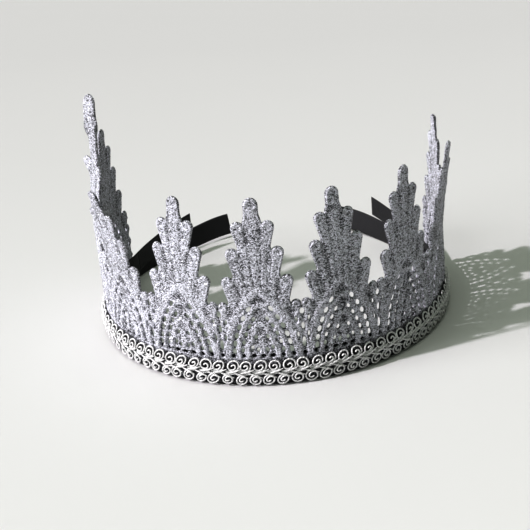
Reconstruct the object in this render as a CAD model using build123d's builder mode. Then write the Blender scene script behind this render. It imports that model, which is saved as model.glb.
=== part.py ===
"""Lace crown: nine stepped lace points on a ring of gimp braid and ribbon, open at the back.

The ring's axis is Z and the crown stands on Z = 0, with its front at -Y. Angles round the ring
are measured from the front, positive towards +X. Left and right are as seen from the front.
"""
from build123d import *
import os
from math import atan, cos, degrees, radians, sin, tan

# ---- Ring: layers from the outside in, as distances from the ring's axis (mm) ----
ring_radius = 84.0            # outer face of the gimp braid
gimp_thickness = 2.2
ribbon_thickness = 0.5
lace_thickness = 1.2
layer_gap = 0.1               # slack between two sewn layers

gimp_inner = ring_radius - gimp_thickness
outer_ribbon_outer = gimp_inner - layer_gap
outer_ribbon_inner = outer_ribbon_outer - ribbon_thickness
lace_outer = outer_ribbon_inner - layer_gap
lace_inner = lace_outer - lace_thickness
inner_ribbon_outer = lace_inner - layer_gap
inner_ribbon_inner = inner_ribbon_outer - ribbon_thickness

# ---- Lace points ----
point_count = 9
point_pitch = 25.1            # degrees from one point to the next
ring_arc = point_count * point_pitch
ring_start = -ring_arc / 2
lace_foot = 0.8               # the lace's lower edge stops just above the ribbon's
junction_height = 38.8        # where two points part
point_height = 85.0
raised_point = 1              # the second point from the left is pulled up and backwards
raised_height = 106.0
raised_shift = -28.0          # how far its tip has moved along the ring
point_leans = (-6, 2, 10, -2, -1, -2, 0, 4, -2)   # degrees outward, above the junction

# Fingers: the top one, then three pairs of side fingers, as (tip X, tip Z)
top_finger_width = 6.6
top_finger_length = 26.0
side_finger_width = 5.4
side_finger_length = 18.0
side_finger_tilt = 14.0
side_finger_tips = ((6.5, 75.0), (9.7, 63.5), (12.7, 50.6))
body_half_outline = ((18.5, 35.5), (13.4, 37.0), (12.2, 42.0), (9.2, 54.0), (6.2, 66.0), (3.0, 78.0))
bump_x = 16.0
bump_width = 4.4
bump_length = 10.0

# Openwork: two pointed arches of holes, holes round the middle petal, slots below the junctions
hole_radius = 1.1
outer_arch = (12.2, 14.5, 38.0, 5)     # half width, foot, top, holes on each side
inner_arch = (8.6, 15.0, 31.5, 4)
petal_holes = ((2.6, 23.0), (4.2, 17.4))
junction_slot = (15.9, 22.0, 2.0, 9.0)  # X, Z, width, height
junction_hole = (15.9, 32.0)

# ---- Ribbons, gimp and stitching ----
ribbon_width = 10.0
inner_ribbon_foot = 4.0
gimp_foot = 0.9
scroll_width = 5.6
scroll_height = 4.4
scroll_cord = 1.4
scrolls_per_point = 6
plait_height = 2.5
stitch_length = 2.6
stitch_thickness = 0.35
stitches_per_point = 9
tack_stitches = 5

# ---- Free ribbon ends past the lace: (side, bend radius) ----
tie_length = 69.0
tie_gap = 1.2                 # unstitched ribbon at the fold, where a free end turns
tab_length = 44.0
tab_gap = 3.0
tab_rise = 8.5
end_bends = {"left": (-1, 100.0), "right": (1, 114.0)}


def radial_plane(angle):
    """Upright plane through the ring's axis: local X points outward and local Y points up."""
    a = radians(angle)
    return Plane(origin=(0, 0, 0), x_dir=(sin(a), -cos(a), 0), z_dir=(-cos(a), -sin(a), 0))


def tangent_plane(angle):
    """Upright plane facing outward: local X runs along the ring and local Y points up."""
    a = radians(angle)
    return Plane(origin=(0, 0, 0), x_dir=(cos(a), sin(a), 0), z_dir=(sin(a), -cos(a), 0))


def save(builder, name):
    """Label one finished piece and write its STEP file."""
    builder.part.label = name
    export_step(builder.part, f"parts/{name}.step")


def ring_band(inner, outer, low, high):
    """A band of rectangular section, swept along the whole lace arc."""
    with BuildPart() as band:
        with BuildSketch(radial_plane(ring_start)):
            with Locations(((inner + outer) / 2, (low + high) / 2)):
                Rectangle(outer - inner, high - low)
        revolve(axis=Axis.Z, revolution_arc=ring_arc)
    return band


def arch_points(half_width, foot, top, count):
    """Points down one side of a pointed arch, from just under its apex to its foot."""
    steps = [(k + 1) / count for k in range(count)]
    return [(half_width * sin(radians(90 * t)), top - (top - foot) * t**1.6) for t in steps]


def lace_holes():
    """The holes right of a point's middle line, before any stretch."""
    return arch_points(*outer_arch) + arch_points(*inner_arch) + list(petal_holes) + [junction_hole]


def place(x, z, height, shift):
    """Where a spot of a standard point lies on one of another height, pulled sideways at its tip."""
    stretched = z * height / point_height
    pulled = max(0.0, stretched - junction_height) / (height - junction_height)
    return (x + shift * pulled, stretched)


def point_face(height, shift):
    """The face of one lace point: body, fingers and bumps, less its openwork."""
    stretch = height / point_height
    pull = degrees(atan(shift / (height - junction_height)))
    corners = [(18.5, lace_foot / stretch)] + list(body_half_outline)
    outline = [place(x, z, height, shift) for x, z in corners]
    outline += [place(-x, z, height, shift) for x, z in reversed(corners)]
    slot_x, slot_z, slot_width, slot_height = junction_slot
    with BuildSketch() as face:
        with BuildLine():
            Polyline(*outline, close=True)
        make_face()
        with Locations(place(0, point_height - top_finger_length / 2, height, shift)):
            SlotOverall(top_finger_length * stretch, top_finger_width, rotation=90 - pull)
        for side in (-1, 1):
            for tip_x, tip_z in side_finger_tips:
                x = side * (tip_x - side_finger_length / 2 * sin(radians(side_finger_tilt)))
                z = tip_z - side_finger_length / 2 * cos(radians(side_finger_tilt))
                tilt = side * side_finger_tilt + pull
                with Locations(place(x, z, height, shift)):
                    SlotOverall(side_finger_length * stretch, side_finger_width, rotation=90 - tilt)
            with Locations((side * bump_x, junction_height - bump_length / 2)):
                SlotOverall(bump_length, bump_width, rotation=90)
        for side in (-1, 1):
            for x, z in lace_holes():
                with Locations((side * x, z)):
                    Circle(hole_radius, mode=Mode.SUBTRACT)
            with Locations((side * slot_x, slot_z)):
                SlotOverall(slot_height, slot_width, rotation=90, mode=Mode.SUBTRACT)
    return face.sketch


def lace_wall(height, lean, start, arc):
    """The lace's thickness: upright as far as the junction, then leaning outward."""
    drift = (height - junction_height) * tan(radians(lean))
    with BuildPart() as wall:
        with BuildSketch(radial_plane(start)):
            with BuildLine():
                Polyline(
                    (lace_inner, lace_foot),
                    (lace_outer, lace_foot),
                    (lace_outer, junction_height),
                    (lace_outer + drift, height),
                    (lace_inner + drift, height),
                    (lace_inner, junction_height),
                    close=True,
                )
            make_face()
        revolve(axis=Axis.Z, revolution_arc=arc)
    return wall.part


def lace_point(index, lean):
    """One lace point on its own share of the ring."""
    edge = ring_start + index * point_pitch
    if index != raised_point:
        height, shift = point_height, 0.0
        wall = lace_wall(height, lean, edge, point_pitch)
    else:
        # Its tip is pulled over its neighbour, so only the part below the junction keeps its share
        height, shift = raised_height, raised_shift
        wall = lace_wall(height, lean, edge - point_pitch, 3 * point_pitch)
    with BuildPart() as point:
        add(wall)
        with BuildSketch(tangent_plane(edge + point_pitch / 2)):
            add(point_face(height, shift))
        extrude(amount=2 * ring_radius, mode=Mode.INTERSECT)
        if index == raised_point:
            for start in (edge - point_pitch, edge + point_pitch):
                with BuildSketch(radial_plane(start)):
                    with Locations((lace_outer, junction_height / 2)):
                        Rectangle(ring_radius / 4, junction_height)
                revolve(axis=Axis.Z, revolution_arc=point_pitch, mode=Mode.SUBTRACT)
    return point


os.makedirs("parts", exist_ok=True)

# Lace points, one node for each motif, numbered from the left end to the right end
for index, lean in enumerate(point_leans):
    save(lace_point(index, lean), f"lace_point_{index + 1}")

# Base ribbons, outside and inside the lace's heading
inner_ribbon_top = inner_ribbon_foot + ribbon_width
outer_ribbon = ring_band(outer_ribbon_inner, outer_ribbon_outer, 0, ribbon_width)
save(outer_ribbon, "outer_base_ribbon")
inner_ribbon = ring_band(inner_ribbon_inner, inner_ribbon_outer, inner_ribbon_foot, inner_ribbon_top)
save(inner_ribbon, "inner_base_ribbon")

# Gimp braid: a plait between two rows of scrolls
gimp_height = 2 * scroll_height + plait_height
plait_foot = gimp_foot + scroll_height
gimp_plait = ring_band(gimp_inner, ring_radius, plait_foot, plait_foot + plait_height)
save(gimp_plait, "gimp_plait")


def scroll_row(row_height):
    """A row of oval scroll loops along the braid."""
    count = point_count * scrolls_per_point
    pitch = ring_arc / count
    with BuildPart() as row:
        for k in range(count):
            with BuildSketch(tangent_plane(ring_start + (k + 0.5) * pitch).offset(gimp_inner)):
                with Locations((0, row_height)):
                    Ellipse(scroll_width / 2, scroll_height / 2)
                    Ellipse(
                        scroll_width / 2 - scroll_cord,
                        scroll_height / 2 - scroll_cord,
                        mode=Mode.SUBTRACT,
                    )
        extrude(amount=gimp_thickness - 0.4)
    return row


save(scroll_row(gimp_foot + scroll_height / 2), "gimp_lower_scrolls")
save(scroll_row(gimp_foot + gimp_height - scroll_height / 2), "gimp_upper_scrolls")

# Stitching that holds the layers together, seen on the inner ribbon's inside face
stitch_face = inner_ribbon_inner - layer_gap / 2
stitch_count = point_count * stitches_per_point
stitch_pitch = ring_arc / stitch_count


def stitch_row(row_height):
    """Evenly spaced stitches lying on the inner ribbon."""
    with BuildPart() as row:
        for k in range(stitch_count):
            plane = tangent_plane(ring_start + (k + 0.5) * stitch_pitch)
            with BuildSketch(plane.offset(stitch_face - stitch_thickness)):
                with Locations((0, row_height)):
                    SlotOverall(stitch_length, stitch_thickness)
        extrude(amount=stitch_thickness * 0.8)
    return row


def end_tack(side):
    """A few upright stitches, close together, where the lace's cut end is sewn down."""
    plane = tangent_plane(side * (ring_arc / 2 - stitch_pitch))
    with BuildPart() as tack:
        with BuildSketch(plane.offset(stitch_face - 2 * stitch_thickness)):
            with Locations((0, inner_ribbon_foot + ribbon_width / 2)):
                with GridLocations(2 * stitch_thickness, 1, tack_stitches, 1):
                    SlotOverall(ribbon_width * 0.4, stitch_thickness, rotation=90)
        extrude(amount=stitch_thickness)
    return tack


save(stitch_row(inner_ribbon_foot + 1.5), "lower_stitch_row")
save(stitch_row(inner_ribbon_top - 1.5), "upper_stitch_row")


def bend_axis(side, bend_radius):
    """The upright axis that a free end's curve is centred on, in line with the lace's end."""
    centre = (outer_ribbon_inner + outer_ribbon_outer) / 2 - bend_radius
    angle = radians(side * ring_arc / 2)
    return Axis((centre * sin(angle), -centre * cos(angle), 0), (0, 0, 1))


def free_end(side, bend_radius, inner, outer, low, high, gap, length):
    """A ribbon running on past the lace on its own curve, starting just beyond the fold."""
    axis = bend_axis(side, bend_radius)
    ring_end = radial_plane(side * ring_arc / 2)
    middle = ((inner + outer) / 2, (low + high) / 2)
    with BuildPart() as strip:
        with BuildSketch(ring_end):
            with Locations(middle):
                Rectangle(outer - inner, high - low)
        revolve(axis=axis, revolution_arc=side * degrees((gap + length) / bend_radius))
        with BuildSketch(ring_end):
            with Locations(middle):
                Rectangle(4 * (outer - inner), 2 * (high - low))
        revolve(axis=axis, revolution_arc=side * degrees(gap / bend_radius), mode=Mode.SUBTRACT)
    return strip


def raised_tab(side, bend_radius):
    """The inner ribbon's end, climbing from the ring's level to a raised, square-cut end."""
    top = inner_ribbon_top + tab_rise
    reach = side * (tab_gap + tab_length)
    strip = free_end(
        side, bend_radius, inner_ribbon_inner, inner_ribbon_outer, inner_ribbon_foot, top, tab_gap, tab_length
    )
    with BuildPart() as tab:
        add(strip.part)
        with BuildSketch(tangent_plane(side * ring_arc / 2)):
            with BuildLine():
                Polyline(
                    (0, inner_ribbon_foot),
                    (0, inner_ribbon_top),
                    (reach, top),
                    (reach, top - ribbon_width),
                    close=True,
                )
            make_face()
        extrude(amount=2 * ring_radius, both=True, mode=Mode.INTERSECT)
    return tab


for side_name, (side, bend_radius) in end_bends.items():
    tie = free_end(
        side, bend_radius, outer_ribbon_inner, outer_ribbon_outer, 0, ribbon_width, tie_gap, tie_length
    )
    save(tie, f"{side_name}_tie")
    save(raised_tab(side, bend_radius), f"{side_name}_tab")
    save(end_tack(side), f"{side_name}_end_tack")
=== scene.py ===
"""Lace crown: detailed lace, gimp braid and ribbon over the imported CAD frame.

Lengths inside the builders are millimetres and become metres when a mesh is made. Angles round the
ring are degrees from the front (-Y), positive towards +X, as in the CAD model. A lace point is drawn
flat first: u runs along the ring from the point's middle, and v is the height above the table. The
noise scales and bump distances in the materials are in metres, like the scene.
"""
import bpy
import math
import numpy as np
from mathutils import Matrix, Vector


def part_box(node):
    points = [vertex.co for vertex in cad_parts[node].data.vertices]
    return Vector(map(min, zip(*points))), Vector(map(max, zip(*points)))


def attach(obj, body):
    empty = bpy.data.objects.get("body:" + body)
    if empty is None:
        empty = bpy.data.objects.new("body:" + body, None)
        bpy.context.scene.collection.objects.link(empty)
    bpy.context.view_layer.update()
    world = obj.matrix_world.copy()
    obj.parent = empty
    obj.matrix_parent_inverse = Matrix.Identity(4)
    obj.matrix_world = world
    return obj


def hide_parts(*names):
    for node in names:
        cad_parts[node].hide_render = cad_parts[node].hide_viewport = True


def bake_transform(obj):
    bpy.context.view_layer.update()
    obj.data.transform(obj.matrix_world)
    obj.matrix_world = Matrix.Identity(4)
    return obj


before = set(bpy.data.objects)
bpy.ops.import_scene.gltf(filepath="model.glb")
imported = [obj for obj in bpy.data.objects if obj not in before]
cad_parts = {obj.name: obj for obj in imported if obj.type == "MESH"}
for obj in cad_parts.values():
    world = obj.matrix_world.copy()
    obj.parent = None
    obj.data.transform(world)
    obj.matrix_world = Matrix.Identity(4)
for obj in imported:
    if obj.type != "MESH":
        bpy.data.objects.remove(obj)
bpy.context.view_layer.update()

MM = 0.001
BAND = "crown_band"
SIDES = ((-1, "left"), (1, "right"))
UP = np.array([0.0, 0.0, 1.0])

# ---- Sizes taken from the frame (mm) ----


def node_box(node):
    """A node's lowest and highest corner at rest, in millimetres."""
    low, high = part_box(node)
    return np.array(low) / MM, np.array(high) / MM


POINTS = 9                                       # lace points round the ring
RIBBON_THICK = 0.5
plait_high = node_box("gimp_plait")[1]
ribbon_low, ribbon_high = node_box("outer_base_ribbon")
inner_low, inner_high = node_box("inner_base_ribbon")
RING_R = plait_high[0]                           # outer face of the gimp
OUTER_RIBBON_R = ribbon_high[0] - RIBBON_THICK / 2     # middle of each ribbon's thickness
INNER_RIBBON_R = inner_high[0] - RIBBON_THICK / 2
LACE_R = (OUTER_RIBBON_R + INNER_RIBBON_R) / 2
HALF_ARC = 90 + math.degrees(math.asin(plait_high[1] / RING_R))
PITCH = 2 * HALF_ARC / POINTS
HALF_WIDTH = LACE_R * math.radians(PITCH / 2)    # half of one lace point, along the ring
LACE_LENGTH = 2 * HALF_WIDTH * POINTS
POINT_TOP = node_box("lace_point_5")[1][2]
RAISED_TOP = node_box("lace_point_2")[1][2]
GIMP_LOW = node_box("gimp_lower_scrolls")[0][2]
GIMP_HIGH = node_box("gimp_upper_scrolls")[1][2]
RIBBON_WIDTH = ribbon_high[2] - ribbon_low[2]


def around(angle):
    """Unit vectors at an angle round the ring: outward, and along the ring."""
    a = math.radians(angle)
    return np.array([math.sin(a), -math.cos(a), 0.0]), np.array([math.cos(a), math.sin(a), 0.0])


def ring_points(s, radius, z):
    """Points from arc length s (at LACE_R, from the front), distance from the axis and height."""
    a = s / LACE_R
    return np.stack([radius * np.sin(a), -radius * np.cos(a), np.broadcast_to(z, a.shape)], axis=-1)


def smooth(low, high, x):
    """0 below low, 1 above high, with a soft step between."""
    t = np.clip((x - low) / (high - low), 0, 1)
    return t * t * (3 - 2 * t)


# ---- Meshes ----


def make_mesh(name, points, faces, uv, flat_faces=None, relief_shade=None):
    """A smooth-shaded mesh object from points in millimetres; uv and the relief's painted light and shade
    go with the points.
    """
    mesh = bpy.data.meshes.new(name)
    mesh.from_pydata((np.asarray(points) * MM).tolist(), [], [tuple(int(i) for i in f) for f in faces])
    soft = np.ones(len(mesh.polygons), bool)
    if flat_faces is not None:
        soft[flat_faces] = False
    mesh.polygons.foreach_set("use_smooth", soft)
    layer = mesh.uv_layers.new(name="cloth")
    loops = np.empty(len(mesh.loops), np.int32)
    mesh.loops.foreach_get("vertex_index", loops)
    layer.data.foreach_set("uv", np.asarray(uv, np.float32)[loops].ravel())
    if relief_shade is not None:
        layer = mesh.attributes.new("relief_shade", "FLOAT", "POINT")
        layer.data.foreach_set("value", np.asarray(relief_shade, np.float32))
    mesh.validate()
    mesh.update()
    piece = bpy.data.objects.new(name, mesh)
    bpy.context.scene.collection.objects.link(piece)
    return piece


def dress(piece, material, body=None, nodes=()):
    """Gives a piece its material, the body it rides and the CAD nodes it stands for."""
    piece.data.materials.append(material)
    if body:
        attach(piece, body)
    if nodes:
        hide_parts(*nodes)


def run_lengths(path):
    """How far along a path each of its points is."""
    steps = np.linalg.norm(np.diff(path, axis=0), axis=1)
    return np.concatenate([[0], np.cumsum(steps)])


def tube(path, radius, sides, reference):
    """Points, faces and uv of a round cord along a path; reference gives each point's outward direction."""
    path = np.asarray(path, float)
    count = len(path)
    tangent = np.gradient(path, axis=0)
    tangent /= np.linalg.norm(tangent, axis=1)[:, None]
    out = np.asarray(reference, float) - (np.asarray(reference) * tangent).sum(1)[:, None] * tangent
    out /= np.linalg.norm(out, axis=1)[:, None]
    side = np.cross(tangent, out)
    turn = np.linspace(0, 2 * math.pi, sides, endpoint=False)
    radius = np.broadcast_to(radius, (count,))
    ring = out[:, None] * np.cos(turn)[None, :, None] + side[:, None] * np.sin(turn)[None, :, None]
    points = (path[:, None] + ring * radius[:, None, None]).reshape(-1, 3)
    uv = np.stack(np.broadcast_arrays(run_lengths(path)[:, None], turn[None, :]), axis=-1).reshape(-1, 2)
    i, j = np.meshgrid(np.arange(count - 1), np.arange(sides), indexing="ij")
    here, ahead, nj = i * sides, (i + 1) * sides, (j + 1) % sides
    faces = np.stack([here + j, ahead + j, ahead + nj, here + nj], axis=-1).reshape(-1, 4).tolist()
    faces.append(list(range(sides))[::-1])
    faces.append(list(range((count - 1) * sides, count * sides)))
    return points, faces, uv


def join(parts):
    """Several (points, faces, uv) as one."""
    points, faces, uv, base = [], [], [], 0
    for p, f, t in parts:
        points.append(p)
        uv.append(t)
        faces += [[i + base for i in face] for face in f]
        base += len(p)
    return np.concatenate(points), faces, np.concatenate(uv)


# ---- Materials ----

PER_METRE = 1000            # one cell for each millimetre
STITCH_SHAPE = (1.0, 1.0, 1.7)                   # lace stitches are wider than high
STITCH_WANDER = (0.0009, 0.0009, 0.0009)         # how far they stray from even rows
SPARKS = 2.1                # sparks along one stitch
PLY_SHADING = (0.45, 0.85, 1.0)                  # painted light on a ply: shade between plies, mid tone on their sides, highlight on top


def dim(tint, level):
    """A colour made darker or lighter."""
    return tuple(c * level for c in tint)


class Nodes:
    """A new material and short calls that add and link its nodes."""

    def __init__(self, name):
        self.material = bpy.data.materials.new(name)
        self.material.use_nodes = True
        self.tree = self.material.node_tree
        self.shader = self.tree.nodes["Principled BSDF"]

    def add(self, kind, inputs=(), **settings):
        node = self.tree.nodes.new(kind)
        for key, value in settings.items():
            setattr(node, key, value)
        for key, value in dict(inputs).items():
            self.set(node, key, value)
        return node

    def set(self, node, key, value):
        if isinstance(value, bpy.types.NodeSocket):
            self.tree.links.new(value, node.inputs[key])
        else:
            node.inputs[key].default_value = value

    def finish(self, **values):
        for key, value in values.items():
            self.set(self.shader, key.replace("_", " "), value)
        return self.material

    def math(self, operation, a, b=0.0):
        return self.add("ShaderNodeMath", {0: a, 1: b}, operation=operation).outputs[0]

    def vector(self, operation, a, b):
        return self.add("ShaderNodeVectorMath", {0: a, 1: b}, operation=operation).outputs[0]

    def weigh(self, *terms, start=None):
        """The sum of (value, weight) terms, and of a start where one is given."""
        total = None
        for value, weight in terms:
            part = self.math("MULTIPLY", value, weight)
            total = part if total is None else self.math("ADD", total, part)
        return total if start is None else self.math("ADD", total, start)

    def place(self):
        return self.add("ShaderNodeTexCoord").outputs["Object"]

    def cloth(self):
        """Along and across a cord or ribbon, from its uv."""
        uv = self.add("ShaderNodeUVMap", uv_map="cloth").outputs[0]
        part = self.add("ShaderNodeSeparateXYZ", {"Vector": uv})
        return part.outputs["X"], part.outputs["Y"]

    def noise(self, place, scale, detail, roughness=0.5):
        inputs = {"Vector": place, "Scale": scale, "Detail": detail, "Roughness": roughness}
        return self.add("ShaderNodeTexNoise", inputs)

    def cells(self, place, scale):
        """Three random values for each small cell, and the distance from the cell's middle."""
        cells = self.add("ShaderNodeTexVoronoi", {"Vector": place, "Scale": scale})
        channels = self.add("ShaderNodeSeparateColor", {"Color": cells.outputs["Color"]})
        return channels.outputs, cells.outputs["Distance"]

    def wave(self, value, length):
        """A sine wave whose crests are a length apart."""
        return self.math("SINE", self.math("MULTIPLY", value, 2 * math.pi / length))

    def bump(self, height, strength, distance):
        inputs = {"Height": height, "Strength": strength, "Distance": distance}
        return self.add("ShaderNodeBump", inputs).outputs["Normal"]

    def ramp(self, factor, stops):
        node = self.add("ShaderNodeValToRGB", {"Fac": factor})
        elements = node.color_ramp.elements
        while len(elements) < len(stops):
            elements.new(0.5)
        for element, (place, colour) in zip(elements, stops):
            element.position = place
            element.color = (*colour, 1)
        return node.outputs["Color"]


def glitter_thread(name, tint, grain, dark, metallic):
    """Metallic yarn: flat stitches, grain mm wide, each painted lighter or darker as if it caught the light
    differently: painted glints.

    Raised cords are painted brighter and low places darker, as painted highlight and shade that follow the
    relief; dark is the colour level of the deepest, most shaded stitches.
    """
    n = Nodes(name)
    place = n.place()
    wander = n.vector("MULTIPLY", n.noise(place, 420.0, 2.0).outputs["Color"], STITCH_WANDER)
    moved = n.vector("ADD", place, wander)
    stitch, distance = n.cells(n.vector("MULTIPLY", moved, STITCH_SHAPE), PER_METRE / grain)
    spark, _ = n.cells(moved, SPARKS * PER_METRE / grain)
    wide = n.math("SUBTRACT", n.noise(place, 60.0, 3.0, 0.6).outputs["Fac"], 0.5)
    # painted light from the relief: raised places lighter (painted highlight), low places darker (painted
    # shade)
    relief_shade = n.add("ShaderNodeAttribute", attribute_name="relief_shade").outputs["Fac"]
    relief_shade = n.math("SUBTRACT", relief_shade, 0.5)
    level = n.weigh((stitch[0], 0.55), (spark[1], 0.45), (wide, 0.3), (relief_shade, 0.3))
    height = n.weigh((stitch[1], 0.5), (spark[2], 0.35), (distance, -0.6))
    return n.finish(
        Base_Color=n.ramp(level, [(0.34, dim(tint, dark)), (0.5, dim(tint, 0.28)), (0.69, tint)]),
        Roughness=n.weigh((spark[0], 0.3), start=0.3),
        Metallic=metallic,
        Specular_IOR_Level=0.35,
        Normal=n.bump(height, 0.8, 0.0004),
    )


def twisted_cord(name, tint, twist, metallic, ply_shading=PLY_SHADING):
    """Plied cord: plies that slant round it, one turn every twist mm, painted with shade between the plies
    and a highlight on their tops, and painted sparks of light.
    """
    n = Nodes(name)
    along, across = n.cloth()
    phase = n.math("ADD", n.math("MULTIPLY", along, 2 * math.pi / twist), across)
    ply = n.math("SINE", phase)
    fibre = n.math("SINE", n.math("MULTIPLY", phase, 3.0))
    spark, _ = n.cells(n.place(), 1900.0)
    # colour: painted shade between plies, painted highlight on their tops, and painted sparks
    level = n.weigh((ply, 0.28), (spark[0], 0.5), start=0.25)
    height = n.weigh((ply, 0.5), (fibre, 0.15), (spark[1], 0.3))
    return n.finish(
        Base_Color=n.ramp(level, [(at, dim(tint, k)) for at, k in zip((0.05, 0.45, 0.8), ply_shading)]),
        Roughness=n.weigh((spark[2], 0.25), start=0.24),
        Metallic=metallic,
        Specular_IOR_Level=0.6,
        Normal=n.bump(height, 0.8, 0.0003),
    )


def grosgrain(name, tint, rib):
    """Ribbon with a rib across its width every rib mm, painted darker in the hollows between ribs and
    lighter on their crests, and slight wear.
    """
    n = Nodes(name)
    along, across = n.cloth()
    ribs, threads = n.wave(along, rib), n.wave(across, rib * 0.6)
    place = n.place()
    wear = n.noise(place, 220.0, 4.0).outputs["Fac"]
    fuzz = n.noise(place, 2600.0, 2.0).outputs["Fac"]
    # the ribs in the colour are painted shade in their hollows and painted highlight on their crests; wear
    # and fuzz are the ribbon's own tone
    level = n.weigh((ribs, 0.18), (wear, 0.7), (fuzz, 0.25))
    height = n.weigh((ribs, 0.6), (threads, 0.2), (fuzz, 0.5))
    return n.finish(
        Base_Color=n.ramp(level, [(0.2, dim(tint, 0.55)), (0.6, tint), (0.95, dim(tint, 1.9))]),
        Roughness=n.weigh((wear, 0.25), start=0.45),
        Normal=n.bump(height, 0.6, 0.00015),
        Sheen_Weight=0.15,
        Sheen_Roughness=0.4,
    )


def pale_floor(name, far, near):
    """Matt off-white table top, with painted shade that makes it a little darker towards the back, and the
    faintest mottling.
    """
    n = Nodes(name)
    place = n.place()
    mottle = n.noise(place, 6.0, 3.0).outputs["Fac"]
    depth = n.add("ShaderNodeSeparateXYZ", {"Vector": place}).outputs["Y"]
    grain = n.noise(place, 900.0, 2.0).outputs["Fac"]
    return n.finish(
        # darker towards the back: a painted falloff of light; the mottle is the table's own tone
        Base_Color=n.ramp(n.weigh((mottle, 0.06), (depth, -0.55), start=0.55), [(0.3, far), (0.75, near)]),
        Roughness=0.7,
        Specular_IOR_Level=0.2,
        Normal=n.bump(grain, 0.08, 0.0002),
    )


# the middle colour is the gimp ground's silver, darkened to paint the shade in the gaps between its scrolls
# and strokes
SILVER, SHADED_SILVER, WHITE_SILVER = (0.83, 0.835, 0.91), (0.3, 0.31, 0.35), (1.0, 1.0, 1.0)
RIBBON_BLACK, THREAD_BLACK = (0.013, 0.013, 0.016), (0.03, 0.03, 0.035)
LACE = glitter_thread("silver lace", SILVER, grain=0.54, dark=0.05, metallic=0.08)
SHADED_GROUND = glitter_thread("shaded silver ground", SHADED_SILVER, grain=0.5, dark=0.12, metallic=0.2)
CORD = twisted_cord("silver gimp cord", WHITE_SILVER, 1.5, metallic=0.1, ply_shading=(0.65, 0.95, 1.0))
PLAIT = twisted_cord("bright silver cord", WHITE_SILVER, 2.0, metallic=0.1, ply_shading=(0.5, 0.95, 1.0))
RIBBON = grosgrain("black grosgrain", RIBBON_BLACK, rib=0.62)
THREAD = twisted_cord("black thread", THREAD_BLACK, 0.8, metallic=0.0)
FLOOR = pale_floor("pale table", far=(0.66, 0.655, 0.66), near=(0.755, 0.755, 0.755))

# ---- Lace: its flat outline, holes and relief ----

GRID = 0.34                 # spacing of the lace's own mesh
HALF_THICK = 0.42           # either side of the lace's middle, under its relief
BACK_SHARE, THINNEST = 0.6, 0.1                  # the back is flatter than the front
FOOT = 0.8
HEADING = 11.0              # the gimp covers the lace below this
JUNCTION = 38.8             # where two points part
BUMP_X, BUMP_R = HALF_WIDTH - 2.2, 2.1
BUMP_TOP, BUMP_ROOT = (BUMP_X, JUNCTION - BUMP_R), (BUMP_X, 28)
FINGER_TIPS = ((6.3, 75.0), (9.45, 63.5), (12.4, 50.6))
FINGER_R, FINGER_LENGTH = 2.75, 17.0
FINGER_TILT = math.radians(15)
TOP_FINGER_R, TOP_FINGER_LENGTH = 3.1, 26.0

# The tapering body: half widths at heights, and where it starts and stops
BODY_V, BODY_HALF = (30, 37, 42, 54, 66, 79), (13.7, 13.4, 12.1, 9.1, 6.3, 2.8)
FOOT_BAND_TOP = 35.6        # the plain band that runs past the point's sides

# Raised cords: two pointed arches and a petal, its rib, and the bump's stem, as (path, half width, rise)
CORD_FOOT = 13
OUTER_BAND = (
    (15.3, CORD_FOOT), (14.6, 19), (13.2, 25.5), (11.0, 31.2), (7.4, 37.0), (3.4, 41.6), (0, 44.6),
)
SECOND_BAND = (
    (10.3, CORD_FOOT), (10.0, 18), (9.0, 23), (7.4, 27.4), (5.6, 31), (3.9, 34.4), (2.1, 36.8), (0, 37.6),
)
THIRD_BAND = ((6.9, CORD_FOOT), (6.2, 17), (4.8, 21), (3.4, 24.6), (1.9, 27.9), (0, 28.8))
RAISED_CORDS = (
    (OUTER_BAND, 1.9, 0.82),
    (SECOND_BAND, 1.35, 0.66),
    (THIRD_BAND, 1.3, 0.66),
    (((0, 22.4), (0, 15)), 1.7, 0.55),
    ((BUMP_TOP, (BUMP_X, CORD_FOOT)), 1.7, 0.5),
)
FINGER_RISE = 0.55
RUN_ON, RUN_PLACE, RUN_SLIM = 14, 0.86, 0.92     # a finger's cord past its root: length, place, girth

# Holes in one half of a point, as (centre, half width and height, lean in degrees)
ARCH_HOLES = ((4.7, 35.6), (7.3, 31.4), (9.2, 27.3), (10.7, 23.3), (11.7, 19.4), (12.2, 15.9))
INNER_HOLES = ((2.9, 31.0), (4.9, 27.6), (6.6, 23.9), (7.9, 20.0), (8.6, 16.3))
PETAL_HOLES = ((2.5, 22.6), (4.3, 17.6), (1.9, 16.6))
SEAM_HOLES = ((33.0, (1.05, 1.45)), (26.2, (0.75, 1.7)), (18.6, (0.85, 2.3)))
HEADING_HOLES = ((0.0, 1.1), (4.0, 1.1), (8.4, 0.85), (12.9, 0.85), (HALF_WIDTH, 0.85))
HOLES = (
    [(centre, (0.92, 1.5), -32 + 5 * k) for k, centre in enumerate(ARCH_HOLES)]
    + [(centre, (0.72, 1.15), -30 + 5 * k) for k, centre in enumerate(INNER_HOLES)]
    + [(centre, (0.72, 1.05), -18) for centre in PETAL_HOLES]
    + [((HALF_WIDTH, height), half, 0) for height, half in SEAM_HOLES]
    + [((14.9, 29.6), (0.55, 1.1), -8), ((15.4, 22.2), (0.5, 1.3), -5)]
    + [((across, 13.7), (half, 0.8), 0) for across, half in HEADING_HOLES]
)

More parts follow.
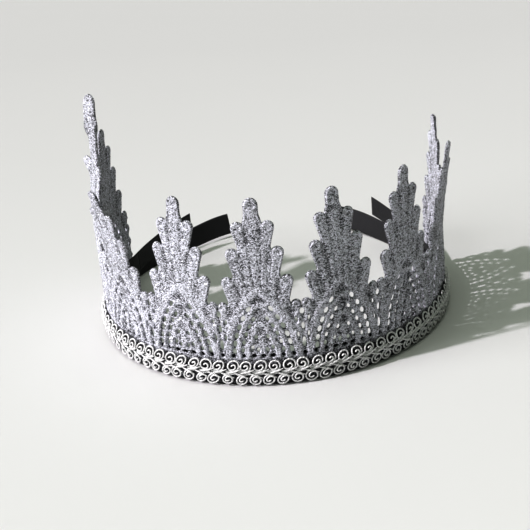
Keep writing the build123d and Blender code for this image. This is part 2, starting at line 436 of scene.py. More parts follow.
# Lines that divide one finger's stitching from the next, down to the arches
GROOVES = (
    ((3.5, 71.0), (2.3, 58.0), (1.5, 46.5)),
    ((7.3, 60.8), (5.5, 50.0), (4.4, 43.0)),
    ((10.6, 47.8), (9.4, 41.0), (8.6, 37.2)),
)
GROOVE_DEPTH, GROOVE_WIDTH = 0.2, 0.42
PLAIN_RISE = 0.12           # the lace between its raised cords
WRAP_PITCH = 0.95           # one turn of the thread that wraps the raised cords
WRAP_WAVER, WRAP_SEED = 0.25, 3
RIM_WIDTH, RIM_RISE, RIM_FADE, RIM_SHARE = 0.55, 0.3, 0.4, 0.25    # the share is its edge's thickness
LUMPS = ((0.11, 0.62, 5), (0.07, 1.7, 6))        # uneven thread, as (rise, size, seed)
LATTICE, LATTICE_PLACE = 256, (97.3, 13.7)       # random values, and where the lace lies among them
COLOUR_BASE, COLOUR_RISE = 0.12, 0.62            # how a rise becomes painted light: raised places lighter, low places darker


def capsule(x, y, a, b, r):
    """Distance outside a round-ended bar from a to b."""
    ax, ay = a
    dx, dy = b[0] - ax, b[1] - ay
    t = np.clip(((x - ax) * dx + (y - ay) * dy) / (dx * dx + dy * dy + 1e-9), 0, 1)
    return np.hypot(x - ax - t * dx, y - ay - t * dy) - r


def polyline(x, y, corners, r):
    """Distance outside a bar that follows several corners."""
    return np.min([capsule(x, y, a, b, r) for a, b in zip(corners, corners[1:])], axis=0)


def oval(x, y, centre, half, lean):
    """Distance-like value outside an oval hole that leans by some degrees."""
    c, s = math.cos(math.radians(lean)), math.sin(math.radians(lean))
    u = (x - centre[0]) * c - (y - centre[1]) * s
    v = (x - centre[0]) * s + (y - centre[1]) * c
    return (np.hypot(u / half[0], v / half[1]) - 1) * min(half)


def value_noise(x, y, step, seed):
    """Smooth random values from -1 to 1 on a lattice of the given step."""
    lattice = np.random.default_rng(seed).uniform(-1, 1, (LATTICE, LATTICE))
    fx, fy = x / step + LATTICE_PLACE[0], y / step + LATTICE_PLACE[1]
    ix, iy = np.floor(fx).astype(int), np.floor(fy).astype(int)
    tx, ty = fx - ix, fy - iy
    tx, ty = tx * tx * (3 - 2 * tx), ty * ty * (3 - 2 * ty)

    def at(i, j):
        return lattice[i % LATTICE, j % LATTICE]

    low = at(ix, iy) * (1 - tx) + at(ix + 1, iy) * tx
    high = at(ix, iy + 1) * (1 - tx) + at(ix + 1, iy + 1) * tx
    return low * (1 - ty) + high * ty


def finger_bars():
    """Each finger as (tip centre, root, radius): the top one, then the side pairs."""
    bars = [((0.0, POINT_TOP - TOP_FINGER_R), (0.0, POINT_TOP - TOP_FINGER_LENGTH), TOP_FINGER_R)]
    reach = FINGER_LENGTH - FINGER_R
    for tip_x, tip_v in FINGER_TIPS:
        for side in (-1, 1):
            tip = (side * tip_x, tip_v - FINGER_R)
            root_x = side * (tip_x - reach * math.sin(FINGER_TILT))
            bars.append((tip, (root_x, tip[1] - reach * math.cos(FINGER_TILT)), FINGER_R))
    return bars


def lace_mask(u, v):
    """Negative where one lace point has thread, positive in its holes and outside it."""
    x = np.abs(u)
    body = np.maximum(x - np.interp(v, BODY_V, BODY_HALF), v - BODY_V[-1])
    body = np.maximum(body, BODY_V[0] - v)
    foot = np.maximum(v - FOOT_BAND_TOP, FOOT - v)
    foot = np.maximum(foot, x - HALF_WIDTH - 1)
    shape = np.minimum(body, foot)
    for tip, root, r in finger_bars():
        shape = np.minimum(shape, capsule(u, v, tip, root, r))
    shape = np.minimum(shape, capsule(x, v, BUMP_TOP, BUMP_ROOT, BUMP_R))
    for centre, half, lean in HOLES:
        shape = np.maximum(shape, -oval(x, v, centre, half, lean))
    return shape


def cord_rise(distance, half_width, rise):
    """The rounded height of a cord, from the distance outside its edge."""
    inward = np.clip((distance + half_width) / half_width, 0, 1)
    return rise * np.sqrt(np.clip(1 - inward**2, 0, 1))


def ringed_dip(rho, ring, rise, width, dip, dip_width):
    """A raised ring round a small dip, as at the round end of a finger."""
    return rise * np.exp(-(((rho - ring) / width) ** 2)) - dip * np.exp(-((rho / dip_width) ** 2))


def finger_relief(u, v, height):
    """The height with each finger's cord, which runs on down to the outer arch."""
    arch_half, arch_foot = OUTER_BAND[0]
    arch_top = OUTER_BAND[-1][1]
    for tip, root, r in finger_bars():
        arch = arch_foot + (arch_top - arch_foot) * (1 - abs(root[0]) / arch_half)
        down = (root[0] * RUN_PLACE, max(root[1] - RUN_ON, arch))
        bar = np.minimum(capsule(u, v, tip, root, r), capsule(u, v, root, down, r * RUN_SLIM))
        height = np.maximum(height, cord_rise(bar, r, FINGER_RISE))
    return height


def lace_relief(u, v, inside):
    """How far the lace's face is from its middle, and the painted light that follows it: lighter on raised
    cords and rims, darker in grooves, dimples and the heading.
    """
    x = np.abs(u)
    height = np.full_like(u, PLAIN_RISE)
    for path, half_width, rise in RAISED_CORDS:
        height = np.maximum(height, cord_rise(polyline(x, v, path, half_width), half_width, rise))
    height = finger_relief(u, v, height)
    turns = 2 * math.pi * (v + WRAP_WAVER * value_noise(u, v, 1.3, WRAP_SEED)) / WRAP_PITCH
    wrap = 0.5 + 0.5 * np.sin(turns)
    height *= 0.86 + 0.14 * wrap
    for line in GROOVES:
        beside = np.clip(polyline(x, v, line, 0.0), 0, None) / GROOVE_WIDTH
        height -= GROOVE_DEPTH * np.exp(-(beside**2))
    height += RIM_RISE * np.exp(-(((inside - RIM_WIDTH) / RIM_FADE) ** 2))
    for tip, _, r in finger_bars():
        rho = np.hypot(u - tip[0], v - tip[1])
        height += ringed_dip(rho, ring=0.62 * r, rise=0.22, width=0.45, dip=0.28, dip_width=0.6)
    rho = np.hypot(x - BUMP_X, v - JUNCTION + BUMP_R)
    height += ringed_dip(rho, ring=1.2, rise=0.15, width=0.4, dip=0.2, dip_width=0.5)
    height += sum(rise * value_noise(u, v, size, seed) for rise, size, seed in LUMPS)
    height *= smooth(HEADING - 0.6, HEADING + 0.6, v)
    edge = np.sqrt(np.clip(inside / RIM_WIDTH, 0, 1))
    face = (HALF_THICK + height) * (RIM_SHARE + (1 - RIM_SHARE) * edge)
    # the second value is painted light: raised places lighter, grooves, dimples and the heading darker,
    # standing in for highlight and shade
    return face, np.clip(COLOUR_BASE + height / COLOUR_RISE, 0, 1)


def lace_offsets(flat):
    """Offsets of the front and the flatter back from the middle, and the painted light and shade that
    follow the front's relief.
    """
    u, v = flat[:, 0], flat[:, 1]
    inside = np.clip(-lace_mask(u, v), 0, None)
    front, relief_shade = lace_relief(u, v, inside)
    back, _ = lace_relief(-u, v, inside)
    back = np.maximum(HALF_THICK * BACK_SHARE + (back - HALF_THICK) * BACK_SHARE, THINNEST)
    return front, back, relief_shade


# ---- Lace: the flat mesh ----


def flat_grid():
    """u and v of a grid that covers one lace point, with the mask's value at each place."""
    across = int(round(2 * HALF_WIDTH / GRID))
    us = np.linspace(-HALF_WIDTH, HALF_WIDTH, across + 1)
    vs = np.arange(FOOT - GRID / 2, POINT_TOP + 2 * GRID, GRID)
    u, v = np.meshgrid(us, vs, indexing="ij")
    value = lace_mask(u, v)
    value[np.abs(value) < 1e-4] = -1e-4          # keeps cuts off the grid points themselves
    return u, v, value


def side_rims(grid_id):
    """Rims along the two straight sides, where the next lace point follows."""
    rims = []
    for side in (0, -1):
        column = grid_id[side]
        for low, high in zip(column, column[1:]):
            if low >= 0 and high >= 0:
                rims.append((high, low) if side == 0 else (low, high))
    return rims


def flat_lace():
    """One flat lace point: (u, v) of every mesh point, the faces, and the edges that need a rim.

    Whole grid cells stay square; cells that the outline crosses keep the part inside it.
    """
    u, v, value = flat_grid()
    solid = value < 0
    grid_id = np.full(u.shape, -1)
    grid_id[solid] = np.arange(solid.sum())
    points = [(a, b) for a, b in zip(u[solid], v[solid])]
    cuts = {}

    def cut(a, b):
        """The outline's crossing of the grid edge from a to b."""
        first, last = min(a, b), max(a, b)
        if (first, last) not in cuts:
            t = value[first] / (value[first] - value[last])
            p, q = np.array([u[first], v[first]]), np.array([u[last], v[last]])
            cuts[first, last] = len(points)
            points.append(tuple(p + (q - p) * t))
        return cuts[first, last]

    faces, rim = [], []
    corners = solid[:-1, :-1].astype(int) + solid[1:, :-1] + solid[1:, 1:] + solid[:-1, 1:]
    for i, j in np.argwhere(corners == 4):
        faces.append((grid_id[i, j], grid_id[i + 1, j], grid_id[i + 1, j + 1], grid_id[i, j + 1]))
    for i, j in np.argwhere((corners > 0) & (corners < 4)):
        cell = [(i, j), (i + 1, j), (i + 1, j + 1), (i, j + 1)]
        loop = []                                # kept corners and cuts, as (mesh point, whether a cut)
        for a, b in zip(cell, cell[1:] + cell[:1]):
            if solid[a]:
                loop.append((grid_id[a], False))
            if solid[a] != solid[b]:
                loop.append((cut(a, b), True))
        faces.append(tuple(point for point, _ in loop))
        for (here, is_cut), (following, next_cut) in zip(loop, loop[1:] + loop[:1]):
            if is_cut and next_cut:
                rim.append((here, following))
    return np.array(points), faces, rim + side_rims(grid_id)


# ---- Lace: bent round the ring ----

# Each point's lean outward above the junction in degrees, its tip's sideways pull and height
POINT_SHAPES = (
    (-3, 1.0, POINT_TOP + 3.0),
    (-1.0, -27.0, RAISED_TOP + 2.6),
    (10, -2.0, POINT_TOP - 2.4),
    (-2, 1.6, POINT_TOP),
    (-1, 0.0, POINT_TOP),
    (-2, -0.8, POINT_TOP),
    (0, 0.5, POINT_TOP),
    (6.5, 0.8, POINT_TOP - 1.2),
    (0.5, 0.0, POINT_TOP),
)
RAISED = 1                  # the point that leans over sideways, twisted, with its tip standing up
TIP_TWIST, BODY_TWIST, START_TWIST = 50, 19, 5   # degrees: top finger's own, by the tip, at the start
TOP_FINGER_FOOT, TOP_FINGER_EDGE = (68.0, 75.0), (3.2, 4.4)    # where the top finger's twist fades
BEND_START = (0.0, 0.3)     # the raised point's bends set in over this share of its free height
CURL, CURL_START, CURL_CURVE = 0.9, 0.22, 1.3
STRAY_OUT, STRAY_V, STRAY_HEIGHT = 3.0, 62, 3.2  # one finger of the raised point stands off
STRAY_SIDE = (0.38, 0.55)
SAG_IN, SAG_AT, SAG_HEIGHT = 2.4, 0.55, 0.3      # and its middle sags inwards
PULL_CURVE, LEAN_CURVE = 1.15, 1.2               # a pull or lean grows towards the tip
WAVE_OUT, WAVE_TURN = 0.5, 0.35                  # small bends that differ from point to point
SEAM_BELOW, SEAM_ABOVE = 6, 2                    # round the junction, a rise spreads to the sides


def point_rise(x, v, change):
    """How far the lace rises where the tip's height changes; at the seams it stays down."""
    centre = np.where(v > JUNCTION, 1.0, 0.5 + 0.5 * np.cos(math.pi * np.clip(x, -1, 1)))
    centre = centre + (1 - centre) * smooth(JUNCTION - SEAM_BELOW, JUNCTION + SEAM_ABOVE, v)
    return change * np.clip((v - HEADING) / (POINT_TOP - HEADING), 0, 1) * centre


def raised_twist(u, v, above):
    """The raised point's twist about its own length, in radians."""
    top_finger = smooth(*TOP_FINGER_FOOT, v) * (1 - smooth(*TOP_FINGER_EDGE, np.abs(u)))
    body = START_TWIST * smooth(*BEND_START, above) + BODY_TWIST * above**PULL_CURVE
    return np.radians(TIP_TWIST * top_finger + body)


def side_curl(beside, above):
    """How far the sides of a point's free part curl outward."""
    return CURL * above * np.clip(beside - CURL_START, 0, 1) ** CURL_CURVE


def bend_lace(flat, offset, index):
    """Wraps flat lace round its share of the ring, with that point's lean, pull and small waves."""
    lean, pull, top = POINT_SHAPES[index]
    u, v = flat.T
    x = u / HALF_WIDTH
    above = np.clip((v - JUNCTION) / (POINT_TOP - JUNCTION), 0, 1)
    drift = math.tan(math.radians(lean)) * (POINT_TOP - JUNCTION) * above**LEAN_CURVE
    wave = WAVE_OUT * above * np.sin(3.1 * above + 1.7 * index)
    wave = wave + WAVE_TURN * above * x * math.cos(2.3 * index)
    if index == RAISED:
        twist = raised_twist(u, v, above)
        stray = STRAY_OUT * smooth(*STRAY_SIDE, -x) * np.exp(-(((v - STRAY_V) / STRAY_HEIGHT) ** 2))
        curl = side_curl(-x, above) + stray
        sag = SAG_IN * np.exp(-(((above - SAG_AT) / SAG_HEIGHT) ** 2))
        drift = drift - sag * smooth(*BEND_START, above)
    else:
        twist, curl = np.zeros_like(u), side_curl(np.abs(x), above)
    radius = LACE_R + offset * np.cos(twist) + drift + wave + curl - u * np.sin(twist)
    along = u * np.cos(twist) + pull * above**PULL_CURVE
    s = (index - (POINTS - 1) / 2) * 2 * HALF_WIDTH + along + offset * np.sin(twist)
    return ring_points(s, radius, v + point_rise(x, v, top - POINT_TOP))


def lace_pieces():
    """The nine lace points, all bent from one flat mesh that has a front, a back and rims."""
    flat, front_faces, rim = flat_lace()
    front, back, relief_shade = lace_offsets(flat)
    count = len(flat)
    faces = front_faces + [tuple(i + count for i in reversed(face)) for face in front_faces]
    rim_start = len(faces)
    faces += [(b, a, a + count, b + count) for a, b in rim]
    uv, relief_shade = np.concatenate([flat, flat]), np.concatenate([relief_shade, relief_shade])
    for index in range(POINTS):
        points = np.concatenate([bend_lace(flat, front, index), bend_lace(flat, -back, index)])
        piece = make_mesh(f"lace_{index + 1}", points, faces, uv, slice(rim_start, None), relief_shade)
        dress(piece, LACE, BAND, [f"lace_point_{index + 1}"])


# ---- Gimp braid ----

SCROLLS = 54
SCROLL_PITCH = LACE_LENGTH / SCROLLS
GIMP_R = RING_R - 1.3
CORD_SIDES = 8
WIRE_R = 0.37               # one gimp cord's radius
SCROLL_R = 2.25             # from a scroll's centre to its outermost cord
SCROLL_TURNS = 1.7
COIL_AT = (0, 0.65, 0.9, 1.15, SCROLL_TURNS)     # turns made, and the coil's radius there
COIL_R = (SCROLL_R, 2.2, 1.7, 1.15, 0.5)
COIL_WIDE = 1.08            # coils are a little wider than high
COIL_OUT, COIL_CLIMB = 0.35, 0.6                 # how far out a coil starts, and climbs
LEAD_IN = 3.4               # length of cord before the coil
LEAD_OUT, LEAD_CLIMB, LEAD_DROP = 0.1, 0.25, 0.5
LEAN_IN, LEAN_FROM = 1.2, 0.6                    # above the ribbon's edge the upper coils lean in
LOW_Z = GIMP_LOW + SCROLL_R + WIRE_R
HIGH_Z = GIMP_HIGH - SCROLL_R - WIRE_R
MIDDLE_Z = (LOW_Z + HIGH_Z) / 2
SCROLL_ROWS = (("gimp_lower_scrolls", LOW_Z, -1, 21), ("gimp_upper_scrolls", HIGH_Z, 1, 22))
ROW_SHIFT = 0.22            # how far a row is moved along, as a share of the pitch
MOVED, HEIGHTS = (-0.45, 0.45), (-0.2, 0.1)      # each scroll's small differences
SIZES, SLANTS = (0.9, 1.08), (0.0, 0.45)
STROKE_R, STROKE_RISE, STROKE_HALF = 0.43, 1.7, 3.3
STROKE_SHIFT = 0.15         # of the pitch, for each millimetre of rise
STROKE_OUT, STROKE_CLIMB, STROKE_DIVE, STROKE_TAPER = 0.9, 0.4, 1.0, 0.6
GROUND_PITCH, GROUND_DEPTH, GROUND_THICK = 0.62, 0.12, 0.35
GROUND_FOOT, GROUND_TOP, GROUND_OUT = 0.3, 1.0, 0.62


def gimp_cord(s, r, z, radius):
    """A cord along the ring from arc lengths, distances from the axis and heights."""
    path = ring_points(s, r, z)
    return tube(path, radius, sides=CORD_SIDES, reference=ring_points(s, 1.0, 0.0))


def within_lace(s, radius):
    """Arc lengths kept far enough from the lace's ends for a cord of this radius."""
    return np.clip(s, -LACE_LENGTH / 2 + radius, LACE_LENGTH / 2 - radius)


def scroll_wire(centre_s, centre_z, turn_over, size, slant):
    """One scroll: a short lead-in along the braid's middle, then a coil that climbs to its centre."""
    lead = np.linspace(0, 1, 10)[:-1]
    lead_s = -LEAD_IN + lead * LEAD_IN
    lead_z = -SCROLL_R * size - LEAD_DROP * (1 - lead) ** 1.5
    lead_r = LEAD_OUT + LEAD_CLIMB * smooth(0.35, 1.0, lead)
    t = np.linspace(0, 1, 46)
    phi = -math.pi / 2 + 2 * math.pi * SCROLL_TURNS * t
    rho = size * np.interp(SCROLL_TURNS * t, COIL_AT, COIL_R)
    coil_s = COIL_WIDE * rho * np.cos(phi) + slant * rho * np.sin(phi)
    coil_z = rho * np.sin(phi)
    coil_r = COIL_OUT + COIL_CLIMB * t
    s = centre_s + turn_over * np.concatenate([lead_s, coil_s])
    z = centre_z + turn_over * np.concatenate([lead_z, coil_z])
    lean = LEAN_IN * smooth(HIGH_Z - LEAN_FROM, GIMP_HIGH, z)
    r = GIMP_R + np.concatenate([lead_r, coil_r]) - lean
    return gimp_cord(within_lace(s, WIRE_R), r, z, WIRE_R)


def scroll_row(centre_z, turn_over, seed):
    """A row of scrolls with small differences; turn_over -1 hangs them from the middle."""
    random = np.random.default_rng(seed)
    parts = []
    for k in range(SCROLLS):
        centre_s = -LACE_LENGTH / 2 + (k + 0.5 + ROW_SHIFT * turn_over) * SCROLL_PITCH
        centre_s += random.uniform(*MOVED)
        size, slant = random.uniform(*SIZES), random.uniform(*SLANTS)
        height = centre_z + random.uniform(*HEIGHTS)
        parts.append(scroll_wire(centre_s, height, turn_over, size, slant))
    return join(parts)


def braid_stroke(centre_s, rise):
    """One cord of the braid's middle: a slanting stroke whose end lies over the next one's start.

    It runs from near the middle line to beyond its rise, slightly bowed, and both its ends taper.
    """
    t = np.linspace(-1, 1, 17)
    s = within_lace(centre_s + STROKE_HALF * t, STROKE_R)
    z = MIDDLE_Z + rise * (0.42 + 0.7 * t + 0.1 * t * t)
    dive = STROKE_DIVE * np.clip(np.abs(t) - 0.6, 0, 1) ** 1.5
    r = GIMP_R + STROKE_OUT + STROKE_CLIMB * t - dive
    thick = STROKE_R * (1 - STROKE_TAPER * np.clip(np.abs(t) - 0.5, 0, 1) / 0.5)
    return gimp_cord(s, r, z, thick)


def ground_threads(low, high, radius):
    """The braid's woven ground: a thin band of upright threads behind the scrolls."""
    s = np.arange(-LACE_LENGTH / 2, LACE_LENGTH / 2, GROUND_PITCH / 6)
    zs = np.array([low, (low + high) / 2, high])
    front = radius + GROUND_DEPTH * np.cos(2 * math.pi * s / GROUND_PITCH)
    points = np.concatenate([ring_points(s, r, z) for r in (front, front - GROUND_THICK) for z in zs])
    count = len(s)
    order = [0, 1, 2, 5, 4, 3]                   # the band's six long lines, taken round its section
    faces = []
    for a, b in zip(order, order[1:] + order[:1]):
        i = np.arange(count - 1)
        quad = [a * count + i, a * count + i + 1, b * count + i + 1, b * count + i]
        faces += np.stack(quad, axis=-1).tolist()
    for end in (0, count - 1):
        cap = [k * count + end for k in order]
        faces.append(cap if end == 0 else cap[::-1])
    uv = np.stack([np.tile(s, len(order)), np.repeat(np.tile(zs, 2), count)], axis=-1)
    return points, faces, uv


def scroll_pieces():
    """The two rows of scrolls along the gimp's edges."""
    for node, centre_z, turn_over, seed in SCROLL_ROWS:
        piece = make_mesh(node.replace("gimp_", "cords_"), *scroll_row(centre_z, turn_over, seed))
        dress(piece, CORD, BAND, [node])


def plait_piece():
    """The strokes along the gimp's middle: one falls and one climbs for each scroll."""
    strokes = []
    for k in range(SCROLLS):
        for rise in (-STROKE_RISE, STROKE_RISE):
            centre_s = -LACE_LENGTH / 2 + (k + 0.5 + STROKE_SHIFT * rise) * SCROLL_PITCH
            strokes.append(braid_stroke(centre_s, rise))
    dress(make_mesh("plait_strands", *join(strokes)), PLAIT, BAND, ["gimp_plait"])


def ground_piece():
    """The ground that shows between the scrolls and the strokes, darkened to paint the shade in those gaps.
    """
    low, high = GIMP_LOW + GROUND_FOOT, MIDDLE_Z + GROUND_TOP
    threads = ground_threads(low, high, OUTER_RIBBON_R + GROUND_OUT)
    dress(make_mesh("gimp_ground", *threads), SHADED_GROUND, BAND)


# ---- Ribbons ----

RIBBON_ACROSS = 12          # faces across a ribbon
CLOTH_WIDTH = 10.0          # its width as the weave counts it
FOLD_BACK, FOLD_ON = 7.6, 3.2                    # the inner ribbon's bend, either side of the lace's end
TIE_LENGTH, TIE_ROOT = 70.2, 0.2                 # past the lace's end, and hidden behind it
TIE_FOOT, TIE_LIFT, TIE_LEAN, TIE_RIPPLE = 0.05, 2.2, 4.2, 0.35
OUTSIDE_FOOT = 0.02         # the outer ribbon stands clear of the table by this
SELVEDGE, SELVEDGE_WIDTH, EDGE_SHARE = 0.35, 0.06, 0.7     # woven edges: thicker, then thin at the rim
TAB_ENDS = {"left": (44.0, 7.6), "right": (43.6, 11.0)}    # each raised tab's length and rise at its end


def strip_faces(count, across):
    """Faces of a strip's two sides and its edges, for count places along it."""
    w = across + 1
    i, j = np.meshgrid(np.arange(count - 1), np.arange(across), indexing="ij")
    quad = [i * w + j, (i + 1) * w + j, (i + 1) * w + j + 1, i * w + j + 1]
    quad = np.stack(quad, axis=-1).reshape(-1, 4)
    half = count * w
    faces = quad.tolist() + (quad[:, ::-1] + half).tolist()
    edge = [k * w for k in range(count)] + [(count - 1) * w + k for k in range(1, w)]
    edge += [k * w + w - 1 for k in range(count - 2, -1, -1)] + list(range(w - 2, 0, -1))
    return faces + [[b, a, a + half, b + half] for a, b in zip(edge, edge[1:] + edge[:1])]


def strip(path, outward, low, high, lean=0.0):
    """A ribbon on edge along a plan path, with thick woven edges; lean moves its top edge outwards."""
    count = len(path)
    t = np.linspace(0, 1, RIBBON_ACROSS + 1)
    lean = np.broadcast_to(lean, (count,))[:, None] * t
    low, high = np.broadcast_to(low, (count,)), np.broadcast_to(high, (count,))
    selvedge = 1 + SELVEDGE * np.exp(-((np.minimum(t, 1 - t) / SELVEDGE_WIDTH) ** 2))
    selvedge[[0, -1]] = EDGE_SHARE
    z = low[:, None] + (high - low)[:, None] * t
    sides = []
    for face in (1, -1):
        out = lean + face * RIBBON_THICK / 2 * selvedge
        p = path[:, None, :] + outward[:, None, :] * out[:, :, None]
        p[:, :, 2] += z
        sides.append(p.reshape(-1, 3))
    cloth = np.broadcast_arrays(run_lengths(path)[:, None], (t * CLOTH_WIDTH)[None, :])
    uv = np.stack(cloth, axis=-1).reshape(-1, 2)
    return np.concatenate(sides), strip_faces(count, RIBBON_ACROSS), np.concatenate([uv, uv])


def ribbon_piece(name, mesh_parts, nodes, body=BAND):
    """A piece of ribbon, made from its mesh parts and given the ribbon's material."""
    piece = make_mesh(name, *mesh_parts)
    dress(piece, RIBBON, body, nodes)
    return piece


def ring_ribbon(name, node, radius, end, low, high):
    """A ribbon round the ring, as far as an angle on either side."""
    step = 1.2
    count = max(3, int(abs(math.radians(2 * end)) * radius / step))
    outward = np.array([around(a)[0] for a in np.linspace(-end, end, count + 1)])
    shape = strip(outward * radius, outward, low, high)
    ribbon_piece(name, shape, [node])


def ring_ribbons():
    """The outer ribbon runs the lace's whole length; the inner one stops where its free ends bend."""
    low, high = ribbon_low[2] + OUTSIDE_FOOT, ribbon_high[2]
    ring_ribbon("ribbon_outside", "outer_base_ribbon", OUTER_RIBBON_R, HALF_ARC, low, high)
    inner_end = HALF_ARC - math.degrees(FOLD_BACK / INNER_RIBBON_R)
    low, high = inner_low[2], inner_high[2]
    ring_ribbon("ribbon_inside", "inner_base_ribbon", INNER_RIBBON_R, inner_end, low, high)


def bend_radius(side, word):
    """The radius of a side's free curve, from how far back its tie's tip stands."""
    tip_y = node_box(f"{word}_tie")[1][1]
    out, along = around(side * HALF_ARC)

    def miss(radius):
        turn = TIE_LENGTH / radius
        onward = side * along * radius * math.sin(turn)
        tip = out * OUTER_RIBBON_R + onward - out * radius * (1 - math.cos(turn))
        return abs(tip[1] - tip_y)

    return min(np.arange(85.0, 180.0, 0.5), key=miss)


def free_path(side, ring_radius, bend, start, end, step=1.0):
    """Plan path past the lace's end: along the ring before it, then on the free curve."""
    out, along = around(side * HALF_ARC)
    bend = bend - (OUTER_RIBBON_R - ring_radius)
    centre = out * (ring_radius - bend)
    points, outward = [], []
    for t in np.linspace(start, end, max(3, int((end - start) / step)) + 1):
        if t < 0:
            o, _ = around(side * (HALF_ARC + math.degrees(t / ring_radius)))
            points.append(o * ring_radius)
        else:
            turn = t / bend
            o = out * math.cos(turn) + side * along * math.sin(turn)
            points.append(centre + o * bend)
        outward.append(o)
    return np.array(points), np.array(outward)


def tie_shape(side, bend):
    """A long end: its hidden root lies behind the lace, its tip lifts a little off the table."""
    path, outward = free_path(side, OUTER_RIBBON_R, bend, -TIE_ROOT, TIE_LENGTH)
    t = np.linspace(0, 1, len(path))
    lift = TIE_LIFT * smooth(0.45, 1.0, t) ** 1.3
    lean = TIE_LEAN * smooth(0.1, 1.0, t)
    ripple = TIE_RIPPLE * np.sin(9 * t + side) * t
    path = path + outward * ripple[:, None]
    return strip(path, outward, TIE_FOOT + lift, RIBBON_WIDTH + lift, lean)


def tab_shape(side, word, bend, start, end, step=1.0):
    """A stretch of the inner ribbon's short end, which climbs steadily from the lace's end on."""
    length, rise = TAB_ENDS[word]
    path, outward = free_path(side, INNER_RIBBON_R, bend, start, end, step)
    climb = rise * np.clip(np.linspace(start, end, len(path)), 0, None) / length
    return strip(path, outward, inner_low[2] + climb, inner_high[2] + climb)


def free_end(side, word):
    """A side's long tie, and its short tab in two pieces: the bend at its root, then the rest."""
    bend = bend_radius(side, word)
    tab_length = TAB_ENDS[word][0]
    tie = ribbon_piece(f"tie_{word}", tie_shape(side, bend), [f"{word}_tie"], body=None)
    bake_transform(tie)
    shape = tab_shape(side, word, bend, -FOLD_BACK, FOLD_ON, step=0.4)
    fold = ribbon_piece(f"tab_fold_{word}", shape, [], body=None)
    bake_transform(fold)
    shape = tab_shape(side, word, bend, FOLD_ON, tab_length)
    tab = ribbon_piece(f"tab_{word}", shape, [f"{word}_tab"], body=None)
    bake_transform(tab)


# ---- Stitching ----

STITCHES = 81
STITCH_PITCH = 2 * HALF_ARC / STITCHES
STITCH_FACE = INNER_RIBBON_R - RIBBON_THICK / 2
STITCH_LENGTH, STITCH_R, STITCH_RISE, STITCH_SINK, STITCH_SLANT = 2.7, 0.17, 0.22, 0.05, 0.06
TACK_STITCHES, TACK_LENGTH, TACK_STEP, TACK_OFF, TACK_UNEVEN = 5, 4.0, 0.62, 0.05, 0.3


def stitch(centre, direction, outward, length):
    """One stitch: a thread that rises out of the ribbon, lies along it and dives back in."""
    t = np.linspace(-1, 1, 9)
    rise = STITCH_RISE * np.sqrt(np.clip(1 - t**4, 0, 1)) - STITCH_SINK
    path = centre + direction * (t * length / 2)[:, None] - outward * rise[:, None]
    return tube(path, STITCH_R, sides=6, reference=np.tile(-outward, (len(t), 1)))


def thread_piece(name, stitches, node):
    """A group of stitches as one piece."""
    dress(make_mesh(name, *join(stitches)), THREAD, BAND, [node])


def stitch_rows():
    """The two rows of running stitches on the inner ribbon's inside."""
    for node in ("lower_stitch_row", "upper_stitch_row"):
        low, high = node_box(node)
        stitches = []
        for k in range(STITCHES):
            out, along = around(-HALF_ARC + (k + 0.5) * STITCH_PITCH)
            centre = out * STITCH_FACE + UP * (low[2] + high[2]) / 2
            slant = along + UP * (STITCH_SLANT * math.sin(k * 2.7))
            stitches.append(stitch(centre, slant, out, STITCH_LENGTH))
        thread_piece(node.replace("_row", "es"), stitches, node)


def end_tacks():
    """A few upright stitches that hold the inner ribbon at each end of the lace."""
    for side, word in SIDES:
        node = f"{word}_end_tack"
        low, high = node_box(node)
        out, along = around(side * (HALF_ARC - STITCH_PITCH))
        stitches = []
        for k in range(TACK_STITCHES):
            beside = along * (k - TACK_STITCHES // 2) * TACK_STEP
            centre = out * (STITCH_FACE - TACK_OFF) + beside + UP * ((low + high) / 2)[2]
            stitches.append(stitch(centre, UP, out, TACK_LENGTH + TACK_UNEVEN * math.sin(3 * k)))
        thread_piece(f"end_tack_{word}", stitches, node)


# ---- Table, light and camera ----

# Each sun as (name, strength, spread in degrees, colour, the way towards it)
SUNS = (
    # Daylight from the front left, low enough to throw the lace's pattern on the table
    ("key", 2.75, 2.2, (1.0, 0.935, 1.0), (-0.689, -0.279, 0.669)),
    # A broad, low light on the left lifts the faces turned that way
    ("panel", 2.3, 30, (1.0, 1.0, 1.0), (-0.92, -0.33, 0.26)),
    # Light from the ceiling fills the shadows on the table more than the upright lace
    ("ceiling", 0.85, 50, (0.93, 1.0, 0.87), (0.0, 0.0, 1.0)),
)
ROOM_COLOUR, ROOM_BASE = (0.88, 1.0, 0.82), 0.03
ROOM_TILT = (-0.10, 0.0, 0.25)                   # the room's strength grows along this, from its base
PICTURE_GAMMA = 0.73
TABLE_SIZE = 24.0           # metres
LENS, SENSOR, NEAREST = 84.0, 36.0, 0.01         # millimetres, millimetres and metres
EYE, AIM = Vector((0.0481, -0.5406, 0.2632)), Vector((-0.0037, -0.0004, 0.0194))
ROLL = math.radians(5.23)


def table():
    """The table that the crown stands on: part of the setting, not of the crown."""
    bpy.ops.mesh.primitive_plane_add(size=TABLE_SIZE, location=(0, 0, 0))
    floor = bpy.context.object
    floor.name = "pale_table"
    floor.data.materials.append(FLOOR)


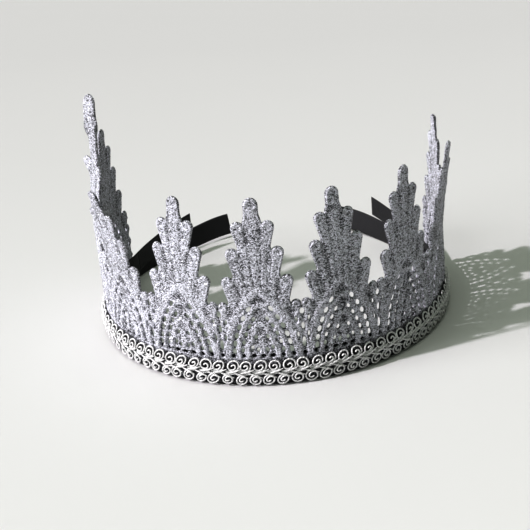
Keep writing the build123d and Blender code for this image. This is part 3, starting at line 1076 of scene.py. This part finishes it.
def sun_light(name, strength, spread, colour, towards):
    """A sun; spread is the angle it fills in degrees, which softens its shadows."""
    data = bpy.data.lights.new(name, "SUN")
    data.energy, data.angle, data.color = strength, math.radians(spread), colour
    sun = bpy.data.objects.new(name, data)
    sun.rotation_euler = Vector(towards).to_track_quat("Z", "Y").to_euler()
    bpy.context.scene.collection.objects.link(sun)


def studio_world():
    """A room that is brightest overhead and on the window side, at the left."""
    world = bpy.data.worlds.new("studio")
    world.use_nodes = True
    nodes, links = world.node_tree.nodes, world.node_tree.links
    background = nodes["Background"]
    background.inputs["Color"].default_value = (*ROOM_COLOUR, 1)
    place = nodes.new("ShaderNodeTexCoord")
    tilt = nodes.new("ShaderNodeVectorMath")
    tilt.operation = "DOT_PRODUCT"
    tilt.inputs[1].default_value = ROOM_TILT
    links.new(place.outputs["Generated"], tilt.inputs[0])
    strength = nodes.new("ShaderNodeMath")
    strength.operation = "ADD"
    strength.use_clamp = True
    strength.inputs[1].default_value = ROOM_BASE
    links.new(tilt.outputs["Value"], strength.inputs[0])
    links.new(strength.outputs[0], background.inputs["Strength"])
    bpy.context.scene.world = world


def picture_tone():
    """A plain view transform, with its middle tones darkened."""
    bpy.context.scene.view_settings.view_transform = "Standard"
    bpy.context.scene.view_settings.gamma = PICTURE_GAMMA


def camera():
    """The photo's camera: in front, above and a little to the right, rolled slightly."""
    data = bpy.data.cameras.new("camera")
    data.lens, data.sensor_width, data.clip_start = LENS, SENSOR, NEAREST
    view = bpy.data.objects.new("camera", data)
    bpy.context.scene.collection.objects.link(view)
    ahead = (AIM - EYE).normalized()
    level_right = ahead.cross(Vector((0, 0, 1))).normalized()
    level_up = level_right.cross(ahead)
    up = level_up * math.cos(ROLL) + level_right * math.sin(ROLL)
    right = level_right * math.cos(ROLL) - level_up * math.sin(ROLL)
    turned = Matrix((right, up, -ahead)).transposed().to_4x4()
    view.matrix_world = Matrix.Translation(EYE) @ turned
    bpy.context.scene.camera = view


# ---- The scene ----

lace_pieces()
scroll_pieces()
plait_piece()
ground_piece()
table()
ring_ribbons()
for side, word in SIDES:
    free_end(side, word)
stitch_rows()
end_tacks()
for sun in SUNS:
    sun_light(*sun)
studio_world()
picture_tone()
camera()
